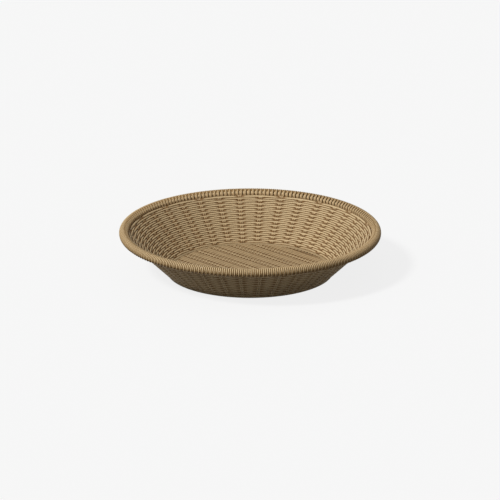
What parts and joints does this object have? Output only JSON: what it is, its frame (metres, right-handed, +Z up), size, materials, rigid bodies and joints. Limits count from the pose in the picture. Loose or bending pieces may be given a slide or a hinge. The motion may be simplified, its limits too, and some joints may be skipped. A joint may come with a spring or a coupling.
{
  "type": "woven wicker basket",
  "caption": "Shallow round wicker basket with a flared plain-woven wall on paired stakes, a lashed round rim and a flat woven base, for bread or fruit.",
  "frame": {"origin": "on the table plane, below the centre of the basket", "axes": "+Z up out of the mouth, +X along the stakes of the woven base"},
  "size_m": [0.3998, 0.3998, 0.07],
  "materials": {
    "weaver_strand": "satin natural wicker",
    "stake_rod": "satin natural wicker",
    "lashing_strand": "satin natural wicker",
    "hoop_cane": "satin natural cane"
  },
  "bodies": {
    "root": {"base_hoop": "hoop_cane", "base_stakes_1": "stake_rod", "base_stakes_2": "stake_rod", "base_stakes_3": "stake_rod", "base_stakes_4": "stake_rod", "base_stakes_5": "stake_rod", "base_stakes_6": "stake_rod", "base_stakes_7": "stake_rod", "base_stakes_8": "stake_rod", "base_weavers_even": "weaver_strand", "base_weavers_odd": "weaver_strand", "rim_hoop": "hoop_cane", "rim_lashing_1": "lashing_strand", "rim_lashing_2": "lashing_strand", "rim_lashing_3": "lashing_strand", "rim_lashing_4": "lashing_strand", "rim_lashing_5": "lashing_strand", "rim_lashing_6": "lashing_strand", "wall_stakes_01": "stake_rod", "wall_stakes_02": "stake_rod", "wall_stakes_03": "stake_rod", "wall_stakes_04": "stake_rod", "wall_stakes_05": "stake_rod", "wall_stakes_06": "stake_rod", "wall_stakes_07": "stake_rod", "wall_stakes_08": "stake_rod", "wall_stakes_09": "stake_rod", "wall_stakes_10": "stake_rod", "wall_stakes_11": "stake_rod", "wall_stakes_12": "stake_rod", "wall_weaver_01": "weaver_strand", "wall_weaver_02": "weaver_strand", "wall_weaver_03": "weaver_strand", "wall_weaver_04": "weaver_strand", "wall_weaver_05": "weaver_strand", "wall_weaver_06": "weaver_strand", "wall_weaver_07": "weaver_strand", "wall_weaver_08": "weaver_strand", "wall_weaver_09": "weaver_strand", "wall_weaver_10": "weaver_strand", "wall_weaver_11": "weaver_strand", "wall_weaver_12": "weaver_strand", "wall_weaver_13": "weaver_strand", "wall_weaver_14": "weaver_strand", "wall_weaver_15": "weaver_strand", "wall_weaver_16": "weaver_strand", "wall_weaver_17": "weaver_strand", "wall_weaver_18": "weaver_strand", "wall_weaver_19": "weaver_strand", "wall_weaver_20": "weaver_strand", "wall_weaver_21": "weaver_strand", "wall_weaver_22": "weaver_strand", "wall_weaver_23": "weaver_strand", "wall_weaver_24": "weaver_strand", "wall_weaver_25": "weaver_strand"}
  },
  "joints": []
}
